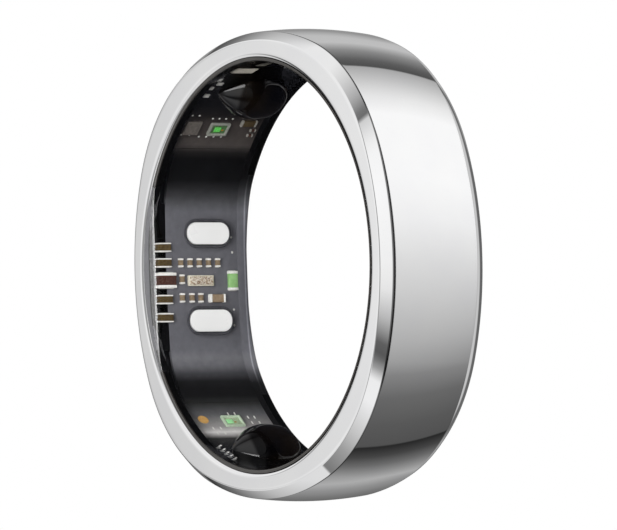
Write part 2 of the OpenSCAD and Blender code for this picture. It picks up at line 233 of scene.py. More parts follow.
def buildWorld():
    # The room that glossy rays see, painted by direction: a ramp round the finger axis for each
    # wall, and layers over them that come in between two edges. All other rays see plain white
    world = bpy.data.worlds.new("studioLight")
    bpy.context.scene.world = world
    world.use_nodes = True
    tree = world.node_tree
    tree.nodes.clear()
    towards = addNode(tree, "TexCoord")
    split = addNode(tree, "SeparateXYZ", {0: towards.outputs["Generated"]})
    around = addNode(tree, "Math", {0: split.outputs["Z"], 1: split.outputs["X"]},
                     operation="ARCTAN2")
    share = addNode(tree, "MapRange", {0: around, 1: -math.pi, 2: math.pi})
    walls = []
    for wall in ("frontWall", "rearWall"):
        ramp = addNode(tree, "ValToRGB", {0: share})
        setStops(ramp.color_ramp, [
            ((angle + 180) / 360, (*[linearGrey(grey) / studio["metalGloss"]] * 3, 1))
            for angle, grey in studio[wall]])
        walls.append(ramp)
    along = addNode(tree, "MapRange", {0: split.outputs["Y"], 1: -1.0, 2: 1.0})
    gap = addNode(tree, "ValToRGB", {0: along})
    setStops(gap.color_ramp, [((y + 1) / 2, (*[linearGrey(grey)] * 3, 1))
                              for y, grey in studio["wallsGap"]])
    darkened = addNode(tree, "Mix", {0: 1.0, 6: walls[0], 7: gap},
                       data_type="RGBA", blend_type="MULTIPLY")
    across, beside = split.outputs["X"], split.outputs["Y"]
    height = addNode(tree, "Math", {0: split.outputs["Z"]}, operation="ABSOLUTE")
    past = addNode(tree, "Math", {0: across, 1: studio["flagLean"], 2: beside},
                   operation="MULTIPLY_ADD")
    meet = studio["wallsMeet"]
    layers = [
        # each layer's edges, what it shows, and how much of it
        ([(past, studio["flagPast"]), (across, studio["flagSide"])],
         linearGrey(0.0), studio["flagDepth"]),
        ([(across, studio["slotSide"]), (beside, studio["slotAlong"]),
          (height, studio["slotHeight"])], linearGrey(0.0), studio["slotDepth"]),
        ([(beside, studio["frontEnd"])], linearGrey(studio["frontGrey"]), 1.0),
        ([(beside, meet)], walls[1], 1.0),
        ([(beside, studio["rearEnd"]), (across, studio["rearSide"])],
         linearGrey(studio["rearGreys"][0]), 1.0),
        ([(beside, studio["rearEnd"]), (across, studio["rearSide"]), (across, studio["rearGlow"])],
         linearGrey(studio["rearGreys"][1]), 1.0),
    ]
    # each edge is a socket and the two values between which the layer comes in
    room = darkened.outputs[2]
    for edges, shade, amount in layers:
        cover = amount
        for socket, (outside, inside) in edges:
            edge = addNode(tree, "MapRange", {
                0: socket, 1: outside, 2: inside}, interpolation_type="SMOOTHSTEP")
            cover = addNode(tree, "Math", {0: edge, 1: cover}, operation="MULTIPLY")
        colour = shade if isinstance(shade, bpy.types.Node) else (shade, shade, shade, 1)
        room = addNode(tree, "Mix", {0: cover, 6: room, 7: colour}, data_type="RGBA").outputs[2]
    ray = addNode(tree, "LightPath")
    shown = addNode(tree, "Mix", {
        0: ray.outputs["Is Glossy Ray"], 6: (1, 1, 1, 1), 7: room}, data_type="RGBA")
    light = addNode(tree, "Background", {0: shown.outputs[2], 1: 1.0})
    addNode(tree, "OutputWorld", {0: light})


view = {
    # angles in radians, the distance from the ring's middle, and the lens and its sensor, in mm
    "azimuth": 0.9853435, "elevation": -0.0526230, "roll": -0.0372391,
    "distance": 323.83, "lens": 337.05, "sensor": 36.0,
    "ringLeft": 4.597, "ringDown": 0.225,  # pixels from the picture's middle to the ring's middle
    "pictureWidth": 617,
}


def buildCamera():
    a, e, r = view["azimuth"], view["elevation"], view["roll"]
    back = Vector((math.sin(a) * math.cos(e), -math.cos(a) * math.cos(e), math.sin(e)))
    right = (-back).cross(Vector((0, 0, 1))).normalized()
    up = right.cross(-back)
    tiltedRight = math.cos(r) * right + math.sin(r) * up
    tiltedUp = math.cos(r) * up - math.sin(r) * right
    data = bpy.data.cameras.new("camera")
    data.lens = view["lens"]
    data.sensor_width = view["sensor"]
    data.shift_x = view["ringLeft"] / view["pictureWidth"]
    data.shift_y = view["ringDown"] / view["pictureWidth"]
    data.clip_start, data.clip_end = 0.01, 20  # in metres
    camera = addObject("camera", data)
    turn = Matrix((tiltedRight, tiltedUp, back)).transposed().to_4x4()
    camera.matrix_world = Matrix.Translation(back * view["distance"] * mm) @ turn
    bpy.context.scene.camera = camera


buildWorld()
buildCamera()
bpy.context.scene.view_settings.view_transform = "Standard"
print("world and camera")


# Materials

def mottled(name, first, second, grain, rough, inputs=None, relief=0.0):
    # Two near colours in clouds one grain wide, in mm. The gloss follows the clouds, 15% to each
    # side, and so does a faint relief where one is given
    low, high = 0.35, 0.65  # the noise seldom leaves this range
    swing = 0.15 * rough
    material, tree = newMaterial(name)
    place = addNode(tree, "TexCoord")
    clouds = addNode(tree, "TexNoise", {
        "Vector": place.outputs["Object"], "Scale": 1 / (grain * mm), "Detail": 4.0})
    spread = addNode(tree, "MapRange", {0: clouds, 1: low, 2: high})
    colour = addNode(tree, "Mix", {
        0: spread, 6: linearColour(first), 7: linearColour(second)}, data_type="RGBA")
    gloss = addNode(tree, "MapRange", {0: spread, 3: rough - swing, 4: min(1.0, rough + swing)})
    shader = addNode(tree, "BsdfPrincipled", {
        "Base Color": colour.outputs[2], "Roughness": gloss, **(inputs or {})})
    if relief:
        bump = addNode(tree, "Bump", {"Height": clouds, "Distance": relief * mm, "Strength": 1.0})
        tree.links.new(bump.outputs[0], shader.inputs["Normal"])
    addNode(tree, "OutputMaterial", {0: shader})
    return material


def castEpoxy(name, tint, rough):
    # Cast epoxy: parts inside show through a glossy surface, and its slightly worn polish, the
    # coat, widens the highlights. Shadow rays pass it, so that light reaches the parts
    material, tree = newMaterial(name)
    shader = addNode(tree, "BsdfPrincipled", {
        "Base Color": linearColour(tint), "Roughness": rough, "IOR": 1.5,
        "Transmission Weight": 1.0, "Coat Weight": 1.0, "Coat Roughness": 0.14})
    clear = addNode(tree, "BsdfTransparent", {0: linearColour(tint)})
    ray = addNode(tree, "LightPath")
    mix = addNode(tree, "MixShader", {0: ray.outputs["Is Shadow Ray"], 1: shader, 2: clear})
    addNode(tree, "OutputMaterial", {0: mix})
    return material


lacquer = {
    # the width of its clouds in mm, the noise they come from, and how much they darken or lighten
    "clouds": 0.4, "noise": (0.3, 0.7), "shades": (0.92, 1.08),
    "farSide": (-2, -1),  # where it starts, in x
    "rough": 0.8,
}


def solderMask(name, stops, paintedEdgeHighlight=None):
    # Matt lacquer in faint clouds, with painted sheen and shade set by height. "stops" gives its
    # colour by its height from the ring's middle, in mm, and the far side of the ring has the first
    # stop's colour. The last argument, where given, is a painted highlight line: its place along the
    # finger and its half width, both in mm, and how much paler
    material, tree = newMaterial(name)
    low, high = stops[0][0], stops[-1][0]
    place = addNode(tree, "TexCoord")
    split = addNode(tree, "SeparateXYZ", {0: place.outputs["Object"]})
    share = addNode(tree, "MapRange", {0: split.outputs["Z"], 1: low * mm, 2: high * mm})
    ramp = addNode(tree, "ValToRGB", {0: share})
    setStops(ramp.color_ramp, [((z - low) / (high - low), linearColour(c)) for z, c in stops])
    start, end = lacquer["farSide"]
    far = addNode(tree, "MapRange", {0: split.outputs["X"], 1: start * mm, 2: end * mm})
    tone = addNode(tree, "Mix", {0: far, 6: ramp, 7: linearColour(stops[0][1])}, data_type="RGBA")
    clouds = addNode(tree, "TexNoise", {
        "Vector": place.outputs["Object"], "Scale": 1 / (lacquer["clouds"] * mm), "Detail": 5.0})
    (thin, thick), (dark, light) = lacquer["noise"], lacquer["shades"]
    shade = addNode(tree, "MapRange", {0: clouds, 1: thin, 2: thick, 3: dark, 4: light})
    # a painted highlight line along the lip's rear edge
    if paintedEdgeHighlight:
        y, half, gain = paintedEdgeHighlight
        off = addNode(tree, "Math", {0: split.outputs["Y"], 1: y * mm}, operation="SUBTRACT")
        off = addNode(tree, "Math", {0: off}, operation="ABSOLUTE")
        line = addNode(tree, "MapRange", {0: off, 1: half * mm, 2: 0.0, 3: 1.0, 4: gain})
        shade = addNode(tree, "Math", {0: shade, 1: line}, operation="MULTIPLY")
    colour = addNode(tree, "VectorMath", {0: tone.outputs[2], "Scale": shade}, operation="SCALE")
    shader = addNode(tree, "BsdfPrincipled", {
        "Base Color": colour, "Roughness": lacquer["rough"], "Specular IOR Level": 0.0})
    addNode(tree, "OutputMaterial", {0: shader})
    return material


def speckledCeramic(name, ground, fleck, deep, grain):
    # Fired ceramic with darker flecks of two sizes: one grain wide, and 0.6 of that. A fleck sets
    # in between two levels of its noise, and the small, deep ones are fewer
    flecks = ((grain, 0.48, 0.56, fleck), (0.6 * grain, 0.56, 0.62, deep))
    material, tree = newMaterial(name)
    place = addNode(tree, "TexCoord")
    tone = linearColour(ground)
    for width, low, high, shade in flecks:
        spots = addNode(tree, "TexNoise", {
            "Vector": place.outputs["Object"], "Scale": 1 / (width * mm), "Detail": 1.0})
        cover = addNode(tree, "MapRange", {0: spots, 1: low, 2: high})
        mix = addNode(tree, "Mix", {0: cover, 6: tone, 7: linearColour(shade)}, data_type="RGBA")
        tone = mix.outputs[2]
    shader = addNode(tree, "BsdfPrincipled", {
        "Base Color": tone, "Roughness": 0.6, "Specular IOR Level": 0.0})
    addNode(tree, "OutputMaterial", {0: shader})
    return material


# What lies in the resin has no gloss of its own, because the resin wets it
wetted = {"Specular IOR Level": 0.0}
# Soft metal in the resin: a third of what it shows is reflection, the rest its own paleness
wettedMetal = {"Specular IOR Level": 0.0, "Metallic": 0.35}

# Mirror-polished stainless steel: the eye gets sharp reflections with hardly any haze
polishedSteel = mottled("polishedStainlessSteel", "#F3F3F4", "#F6F6F6", 3, 0.03, {"Metallic": 1.0})
# Black oxide on the inside of the band's channel, behind the resin: a dull black, no reflections
blackOxide = mottled("blackOxideSteel", "#060606", "#09090A", 1, 0.7, wetted)
# Clear epoxy, cast and buffed: nearly colourless, with soft-edged highlights along the lips
clearEpoxy = castEpoxy("castClearEpoxy", "#F6F6F7", 0.02)
# Epoxy that lets only infrared pass: a glossy bead, blue-black with a brown breath in it
smokedEpoxy = mottled("infraredPassEpoxy", "#06060A", "#17110B", 2.2, 0.03)
# White ceramic-filled plating of the contacts: soft, near white, with a satin gloss
contactPlating = mottled("satinWhitePlating", "#FEFEFD", "#FAFAF9", 3, 0.3)
# Moulded silicone rubber: an even dark grey with no shine
sealRubber = mottled("siliconeSealRubber", "#424246", "#4C4C50", 0.2, 0.6, wetted)

# Black solder mask: matt. The mid grey over the middle is the resin's bright reflection, painted
# into the mask, with a paler painted highlight low down where the platform meets the bore, and its
# fall to black under the domes is painted shade under the rims. The flexes' polyimide goes on from
# it, with a painted sheen beside each dome
boardSheenAndShadeStops = [
    (-13, "#060606"), (-6.6, "#0E0E0E"), (-6.15, "#1A1A1B"), (-5.68, "#444447"), (-5.2, "#6C6C70"),
    (-4.73, "#79797D"), (-4.26, "#6C6C71"), (-3.8, "#67676C"), (3.8, "#67676C"), (4.26, "#565659"),
    (4.73, "#3D3D3F"), (5.2, "#272728"), (5.7, "#0F0F0F"), (6.9, "#070707"), (13, "#060606")]
# the paler stops beside the domes are painted sheen
flexSheenAndShadeStops = [
    (-13, "#0A0A0A"), (-7.93, "#4B4B4C"), (-7.57, "#2B2C2A"), (-7.1, "#101010"),
    *boardSheenAndShadeStops[1:-2], (6.9, "#080808"), (7.3, "#1F1D1C"), (7.7, "#4A4542"), (13, "#0A0A0A")]
boardMaskPaintedSheen = solderMask("blackSolderMask", boardSheenAndShadeStops)
flexFilmPaintedSheen = solderMask("blackPolyimideFilm", flexSheenAndShadeStops)
# The lacquer under the lips: the rear one continues the board's painted sheen and shade and has a
# painted highlight line next to the metal, and the front one is grey beside the platform, a painted
# reflection of the lip, and black above and below it
rearLacquerPaintedSheen = solderMask("greyRimLacquer", boardSheenAndShadeStops, (2.95, 0.08, 2.4))
frontLacquerPaintedReflection = solderMask("blackRimLacquer", [
    (-13, "#030303"), (-8, "#1A1A1B"), (-6.8, "#505052"), (-5.8, "#626266"), (5.8, "#626266"),
    (6.8, "#505052"), (8, "#1A1A1B"), (13, "#030303")])
# Enamel paint on the lips: a deep gloss with crisp reflections, black, and warm grey by the metal,
# the grey a painted reflection of the lip
blackPaint = mottled("glossyBlackEdgePaint", "#030303", "#060606", 0.5, 0.04)
greyPaintPaintedReflection = mottled("glossyGreyEdgePaint", "#23211F", "#282624", 0.5, 0.04)
# Moulded plastics: dull, with a fine grain that only the black packages show
railPlastic = mottled("blackLiquidCrystalPolymer", "#030303", "#060605", 0.3, 0.6, wetted)
packagePlastic = mottled("mouldedEpoxyPackage", "#1B1A1A", "#242322", 0.06, 0.7, wetted, 0.004)
greyPackage = mottled("greyMouldedPackage", "#6B655F", "#5E5954", 0.15, 0.7, wetted)
# Plated ends: bright, near-white tin, and the same tin darkened to grey as painted shade, for
# the ends that lie in the shade by the upper dome
tinPlate = mottled("tinPlatedTerminal", "#F7F6F2", "#E6E4DE", 0.08, 0.35, wetted)
tinPaintedShade = mottled("oxidisedTinTerminal", "#A8A49C", "#8F8B83", 0.08, 0.35, wetted)
# Fired capacitor ceramics, and the ferrite of coils: tan to brown, matt, slightly uneven
capacitorCeramic = mottled("firedBariumTitanate", "#93826B", "#80705A", 0.12, 0.6, wetted)
edgeCeramic = mottled("brownBariumTitanate", "#5A4C33", "#4B3F2A", 0.12, 0.6, wetted)
bulkCeramic = mottled("tanBariumTitanate", "#9A8770", "#88755E", 0.15, 0.6, wetted)
ferrite = mottled("sinteredFerrite", "#573C34", "#48312B", 0.15, 0.6, wetted)
# The antenna's glaze: an even, milky green
antennaCeramic = mottled("glazedGreenCeramic", "#8FBF78", "#9FCB8A", 0.25, 0.5, wetted)
# Alumina of the crystal's case: a cream lid full of brown flecks in a plain paler frame
crystalCeramic = speckledCeramic("firedAluminaLid", "#DAD2C2", "#A8957C", "#74594A", 0.1)
crystalFrame = mottled("aluminaFrame", "#E4DFCE", "#D3CCB6", 0.1, 0.5, wetted)
# The light packages: a grey and a greenish ceramic frame, each with a green die on its floor. The
# lower one is drawn as if lit, paler all over
ledFrame = mottled("paleCeramicFrame", "#989A90", "#85877F", 0.1, 0.5, wetted)
dieFloor = mottled("phosphorFloor", "#5A7A50", "#46633F", 0.1, 0.6, wetted)
lightDie = mottled("galliumNitrideDie", "#77E06B", "#58C455", 0.1, 0.3, wetted)
greenFrame = mottled("paleGreenCeramicFrame", "#CBDCC2", "#B5C8AE", 0.1, 0.5, wetted)
paleFloor = mottled("palePhosphorFloor", "#B9C9A8", "#9FB391", 0.1, 0.6, wetted)
paleDie = mottled("litNitrideDie", "#BDFBB9", "#9BEFA0", 0.1, 0.3, wetted)
# Gold on nickel: a soft yellow, paler where the resin lies flat on the pad
goldPlate = mottled("electrolessGold", "#C8973F", "#A87A2C", 0.12, 0.35, wettedMetal)
paleGold = mottled("wettedGoldPad", "#E0B26C", "#CB9C57", 0.12, 0.35, wetted)
# Solder and the drawn lid: bright and slightly warm
solderMetal = mottled("reflowedSolder", "#F0EFEA", "#DAD9D2", 0.05, 0.3, wetted)
lidMetal = mottled("nickelSilverLid", "#FDF6E8", "#EFE8D9", 0.3, 0.4, wetted)
# Sawn silicon: a smooth blue-black
siliconDie = mottled("dopedSilicon", "#141424", "#1B1B30", 0.4, 0.3, wetted)
# The battery: a black coated pouch on black tape, amber film and rolled tabs, all out of sight
pouchFoil = mottled("blackCoatedPouchFoil", "#101011", "#151516", 0.8, 0.5, wetted)
pressureTape = mottled("blackPressureTape", "#0B0B0C", "#121212", 0.5, 0.6, wetted)
amberFilm = mottled("polyimideAmberFilm", "#3A2608", "#2C1C05", 0.6, 0.4, wetted)
nickelTab = mottled("rolledNickel", "#B9B5AA", "#A29E94", 0.2, 0.35, wettedMetal)
greenLacquer = mottled("greenSolderMask", "#1E4A2C", "#173B23", 0.3, 0.6, wetted)
print("materials")


# Metal band

band = {
    # the outline: how much longer the side arcs' radius is, and the direction where arcs meet
    "bore": 11.4, "sideThickness": 1.82, "radiusStep": 6.875, "meet": (0.936, 0.352),
    # the section: the crown's radius, and the chamfer with its roundings at front and rear
    "halfWidth": 3.4, "crown": 22.5,
    "chamferWidth": 0.56, "chamferDepth": 0.5, "edgeDrop": 0.68,
    "crownEdgeRound": 0.16, "rearEdgeRound": 0.9, "faceEdgeRound": 0.12,
    # from the side face inwards: a lip that drops to the flange's bore, and the channel
    "faceRadius": 11.84, "lipDrop": 0.1, "flangeRadius": 11.62, "flange": 0.55,
    "channelRadius": 12.55,
    "around": 720, "arcSteps": 9, "crownSteps": 28, "faceRows": 6,
}
# How far the arcs' centres lie from the axis, and their radii
cornerCentre = band["radiusStep"] * band["meet"][1]
sideCentre = band["radiusStep"] * band["meet"][0] - cornerCentre
sideRadius = band["bore"] + band["sideThickness"] + sideCentre
cornerRadius = sideRadius - band["radiusStep"]


def bandOutline(count):
    # For each direction of the outward normal: the centre of the arc that has it, plus that arc's
    # radius along the normal. Four wide arcs lie on the axes, and four tighter ones between them
    turn = fullTurn(count)
    normal = np.stack([np.cos(turn), np.sin(turn)], -1)
    quarter = np.round(turn / (0.5 * np.pi))
    axis = np.stack([np.cos(quarter * 0.5 * np.pi), np.sin(quarter * 0.5 * np.pi)], -1)
    onSide = np.abs(turn - quarter * 0.5 * np.pi) <= math.atan2(band["meet"][1], band["meet"][0])
    diagonal = cornerCentre * np.sign(normal)
    centre = np.where(onSide[:, None], -sideCentre * axis, diagonal)
    radius = np.where(onSide, sideRadius, cornerRadius)
    return centre + radius[:, None] * normal, normal


def roundCorners(points, radii, steps):
    # Each inner corner becomes an arc that touches both of its sides: the arc turns from the one
    # side's direction to the other's on a circle of the wanted radius
    path = [points[0]]
    for before, corner, after, radius in zip(points, points[1:], points[2:], radii):
        into = (corner - before) / np.linalg.norm(corner - before)
        out = (after - corner) / np.linalg.norm(after - corner)
        bend = math.acos(np.clip(into @ out, -1, 1))
        if radius == 0 or bend < 1e-4:  # to be left sharp, or no corner at all
            path.append(corner)
            continue
        reach = radius * math.tan(bend / 2)
        centre = corner - reach * into + radius * (out - (into @ out) * into) / math.sin(bend)
        first = corner - reach * into - centre
        swing = np.linspace(0, bend, steps)[:, None]
        path += list(centre + np.cos(swing) * first + np.sin(swing) * radius * into)
    return np.array(path + [points[-1]])


def bandProfile(edgeRound):
    # Half of the section, from the middle of the crown to the middle of the channel. Outer points
    # are (depth under the outline, place along the finger), inner ones (radius, place)
    half, drop, crownRadius = band["halfWidth"], band["edgeDrop"], band["crown"]
    slope = band["chamferDepth"] / band["chamferWidth"]
    # the chamfer's line meets the crown's circle where both have the same depth, which 30 rounds
    # of putting one into the other settle
    y = half
    for _ in range(30):
        y = half - (drop - (crownRadius - math.sqrt(crownRadius ** 2 - y * y))) / slope
    crownY = np.linspace(0, y, band["crownSteps"])
    crown = np.stack([crownRadius - np.sqrt(crownRadius ** 2 - crownY ** 2), crownY], -1)
    # the last point only gives the side face its direction, and is dropped again
    line = np.concatenate([crown[:-2], crown[-1:], [[drop, half], [drop + 0.5, half]]])
    radii = [0] * (len(line) - 4) + [edgeRound, band["faceEdgeRound"]]
    outer = roundCorners(line, radii, band["arcSteps"])[:-1]
    run = band["faceRadius"] - band["flangeRadius"]
    edge = (run ** 2 + band["lipDrop"] ** 2) / (2 * band["lipDrop"])
    lip = np.linspace(0, math.asin(min(1, run / edge)), band["arcSteps"])
    inner = np.stack([band["faceRadius"] - edge * np.sin(lip), half - edge * (1 - np.cos(lip))], -1)
    channel = half - band["flange"]
    rest = np.array([[band["flangeRadius"], channel], [band["channelRadius"], channel],
                     [band["channelRadius"], 0]])
    return outer, np.concatenate([inner, rest])


def buildBand():
    # The section carried round the outline: outer points are measured in from the outline along its
    # normal, and inner ones out from the axis. A front and a rear half make the whole section
    outline, normal = bandOutline(band["around"])
    inward = outline - band["edgeDrop"] * normal
    inward /= np.linalg.norm(inward, axis=1)[:, None]
    steps = np.linspace(0, 1, band["faceRows"] + 2)[None, 1:-1, None]
    halves = []
    for edgeRound, way in ((band["crownEdgeRound"], -1), (band["rearEdgeRound"], 1)):
        outer, inner = bandProfile(edgeRound)
        outerRing = outline[:, None] - outer[None, :, :1] * normal[:, None]
        innerRing = inner[None, :, :1] * inward[:, None]
        # the side face is one flat stretch between the two: a few rows keep its quads short
        faceRing = outerRing[:, -1:] * (1 - steps) + innerRing[:, :1] * steps
        across = np.concatenate([outerRing, faceRing, innerRing], 1)
        face = np.full(band["faceRows"], band["halfWidth"])
        along = way * np.concatenate([outer[:, 1], face, inner[:, 1]])
        along = np.broadcast_to(along[None, :], across.shape[:2])
        halves.append(np.stack([across[:, :, 0], along, across[:, :, 1]], -1))
    grid = np.concatenate([halves[1], halves[0][:, -2:0:-1]], 1)
    surface = gridSurface(grid)
    # the channel's faces and the flanges' bores are blackened: both ends of each quad lie there
    radius = np.hypot(grid[0, :, 0], grid[0, :, 2])
    deep = np.abs(grid[0, :, 1]) < band["halfWidth"] - band["flange"] + touch
    dark = (radius < band["channelRadius"] + touch) & deep | (radius < band["flangeRadius"] + touch)
    black = dark & np.roll(dark, -1)
    kinds = np.tile(black.astype(int), grid.shape[0])
    piece = makePiece("metalBand", [surface], [polishedSteel, blackOxide],
                      ["outer_shell"], sharp=50)
    piece.data.polygons.foreach_set("material_index", kinds)
    print("metal band:", len(surface[1]), "faces")


buildBand()


# Lining, the lacquered films under its lips, and the flexes

lining = {
    "bore": 11.4, "platform": 10.5, "platformBlend": 0.6,
    # the lip: a wide ease and a tight rounding, both in mm, and then a straight slope to the metal
    "easeRadius": 2.9, "easeAngle": 17, "easeRoom": (0.17, 1.05), "lipRound": 0.5, "lipAngle": 82,
    "lipRadius": 11.6, "lipHalf": 3.34, "lipLean": 0.06, "lipGap": 0.03, "roundShare": 0.6,
    "pocketHalf": 2.83, "outer": 12.53,
    "around": 640, "flatRows": 24, "lipRows": 34, "slopeRows": 4,
    "dishDepth": 0.06, "dishReach": 0.78, "skinEnd": 11.5,
}
film = {
    # where the film starts, at the front (-1) and the rear (1), and where it is left open
    "start": {-1: 2.74, 1: 2.42}, "openStart": 1.2, "openAngle": (25, 44),
    # its end, as a share of the lip's section, and the least that its first row reaches back
    "end": 1.97, "leastBack": 0.02,
    "depth": 0.03, "thick": 0.03,
    # the paint on the lips: its start, its ends at the front and the rear, and where it turns to the
    # grey of the painted reflection
    "paintStart": 2.76, "paintAbove": (5.2, 5.9), "paintBelow": (-5.4, -6.8), "blackUpTo": 3.2,
}
contact = {
    "length": 2.84, "width": 1.27, "top": 10.45, "thick": 0.55, "y": 0.45, "pitch": 5.04,
    "corner": 0.47,  # of the width
    # the eased edge, how far it ends under the top, and the crown's rings (inset, under the top)
    "edge": 0.06, "shoulder": 0.02, "crown": ((0.15, 0.01), (0.35, 0.0)),
    "edgeSteps": 6, "cornerSteps": 14,
}


def smoothLeast(a, b, blend):
    # the lesser of two, with the crossing rounded off over "blend"
    overlap = np.maximum(blend - np.abs(a - b), 0) / blend
    return np.minimum(a, b) - overlap ** 2 * blend / 4


def wallRadius(angle):
    # The round bore, or the flat platform where that is nearer to the axis. The cosine stays at a
    # half or more, and there the platform is already far outside the bore
    flat = lining["platform"] / np.maximum(-np.cos(angle), 0.5)
    return smoothLeast(lining["bore"], flat, lining["platformBlend"])


def lipSection(wall, share, depth=0.0):
    # The lip from the wall (share 0) over its rounding (1) to the metal (2), as radius and place
    # along the finger. Its normal turns at an even rate, first on the wide circle of the ease and
    # then on the tight one. Where the wall leaves little room, there is no ease
    ease, room = lining["easeRadius"], lining["lipRadius"] - lining["lipGap"] - wall
    low, high = lining["easeRoom"]
    way = np.clip((room - low) / (high - low), 0, 1)
    easeEnd = math.radians(lining["easeAngle"]) * way * way * (3 - 2 * way)
    easeRise = ease * (1 - np.cos(easeEnd))
    tight = np.minimum(lining["lipRound"], lining["roundShare"] * (room - easeRise))
    last = math.radians(lining["lipAngle"])
    turn = np.minimum(share, 1) * last
    onEase = turn < easeEnd
    rise = np.where(onEase, ease * (1 - np.cos(turn)),
                    easeRise + tight * (np.cos(easeEnd) - np.cos(turn)))
    run = np.where(onEase, ease * np.sin(turn),
                   ease * np.sin(easeEnd) + tight * (np.sin(turn) - np.sin(easeEnd)))
    fullRise = easeRise + tight * (np.cos(easeEnd) - math.cos(last))
    fullRun = ease * np.sin(easeEnd) + tight * (math.sin(last) - np.sin(easeEnd))
    end = lining["lipHalf"] - lining["lipLean"] * (lining["lipRadius"] - wall - fullRise)
    slope = np.maximum(share - 1, 0)
    radius = (wall + rise) * (1 - slope) + lining["lipRadius"] * slope
    along = (end - fullRun + run) * (1 - slope) + lining["lipHalf"] * slope
    return radius + depth * np.cos(turn), along - depth * np.sin(turn)


def dish(y, z):
    # The skin dips towards each contact: the square of how near a point is, within the dish's reach
    straight = 0.5 * (contact["length"] - contact["width"])
    depth = np.zeros_like(z)
    for side in (-1, 1):
        off = np.hypot(np.maximum(np.abs(y - contact["y"]) - straight, 0),
                       z - side * contact["pitch"] / 2) - contact["width"] / 2
        near = 1 - np.clip(off, 0, lining["dishReach"]) / lining["dishReach"]
        depth += lining["dishDepth"] * near ** 2
    return depth


def buildLining():
    # Round the axis by angle, and across from the wall's middle over each lip to the metal
    angle = fullTurn(lining["around"])[:, None]
    wall = wallRadius(angle)
    slope = np.linspace(1, 2, lining["slopeRows"] + 1)[1:]
    share = np.concatenate([np.linspace(0, 1, lining["lipRows"]), slope])[None]
    radius, along = lipSection(wall, share)
    flat = along[:, :1] * np.linspace(0, 1, lining["flatRows"])[None, :-1]
    ones = np.ones_like(wall)
    r = np.concatenate([wall * np.ones_like(flat), radius, lining["lipRadius"] * ones,
                        lining["outer"] * ones, lining["outer"] * ones], 1)
    y = np.concatenate([flat, along, lining["pocketHalf"] * ones,
                        lining["pocketHalf"] * ones, 0 * ones], 1)
    half = aroundAxis(r, y, angle)
    mirrored = (half * [1, -1, 1])[:, -2:0:-1]
    grid = np.concatenate([half, mirrored], 1)[:, ::-1]
    # the dish is only in the platform's skin, not in the lining's back
    onSkin = (grid[:, :, 0] < 0) & (np.hypot(grid[:, :, 0], grid[:, :, 2]) < lining["skinEnd"])
    grid[:, :, 0] -= np.where(onSkin, dish(grid[:, :, 1], grid[:, :, 2]), 0)
    piece = makePiece("clearLining", [gridSurface(grid)], [clearEpoxy, blackPaint, greyPaintPaintedReflection],
                      ["inner_liner"], sharp=40)
    # away from the platform the lips are painted, black at first and grey next to the metal, the
    # grey a painted reflection
    middle = 0.5 * (grid + np.roll(grid, -1, 1))
    onLip = np.abs(middle[:, :, 1]) > film["paintStart"]
    onLip &= np.hypot(middle[:, :, 0], middle[:, :, 2]) < lining["lipRadius"] + touch
    height = middle[:, :, 2]
    above, below = (np.where(middle[:, :, 1] < 0, *film[key]) for key in ("paintAbove", "paintBelow"))
    painted = onLip & ((middle[:, :, 0] > 0) | (height > above) | (height < below))
    kinds = painted.astype(int) + (painted & (np.abs(middle[:, :, 1]) > film["blackUpTo"]))
    piece.data.polygons.foreach_set("material_index", kinds.ravel())


def buildRimFilm(name, side, finish):
    # The lip's section again, a film's depth under it, and back a film's thickness deeper. At the
    # front it stops short beside the platform, where the edge parts show through the lip, and its
    # inner part is black, a painted dark reflection that carries on the black rail's band
    angle = fullTurn(lining["around"])[:, None]
    wall = wallRadius(angle)
    flat = lipSection(wall, np.zeros((1, 1)))[1]
    start = np.arcsin(np.clip((film["start"][side] - flat) / lining["easeRadius"], 0, 1))
    start /= math.radians(lining["lipAngle"])
    off = np.degrees(np.abs(angle - np.pi))
    low, high = film["openAngle"]
    opened = np.clip((high - off) / (high - low), 0, 1) * (side < 0)
    start += (film["openStart"] - start) * opened
    share = start + (film["end"] - start) * np.linspace(0, 1, lining["lipRows"])[None]
    upper = np.array(lipSection(wall, share, film["depth"]))
    lower = np.array(lipSection(wall, share[:, ::-1], film["depth"] + film["thick"]))
    # where the wall is flat past the film's start, one more row reaches back to it
    back = np.maximum(flat - film["start"][side], film["leastBack"])
    upper = np.concatenate([upper[:, :, :1] - [0 * back, back], upper], 2)
    lower = np.concatenate([lower, lower[:, :, -1:] - [0 * back, back]], 2)
    r, y = np.concatenate([upper, lower], 2)
    grid = aroundAxis(r, side * y, angle)[:, ::-side]
    piece = makePiece(name, [gridSurface(grid)], [finish, railPlastic], [], sharp=40)
    if side < 0:
        middle = 0.5 * (grid + np.roll(grid, -1, 1))
        inner = middle[:, :, 1] > -film["blackUpTo"]
        piece.data.polygons.foreach_set("material_index", inner.astype(int).ravel())


flex = {
    # its edges along the finger, and how far the front one has moved by the end
    "rear": 2.78, "front": -2.15, "frontLean": -0.3,
    # its start and its bend on the board, its end as angle and radius, and its back's radius
    "boardX": 11.17, "boardZ": 3.9, "bendZ": 4.3, "end": 141.6, "endRadius": 12.04, "back": 12.25,
    "rows": 24,
}


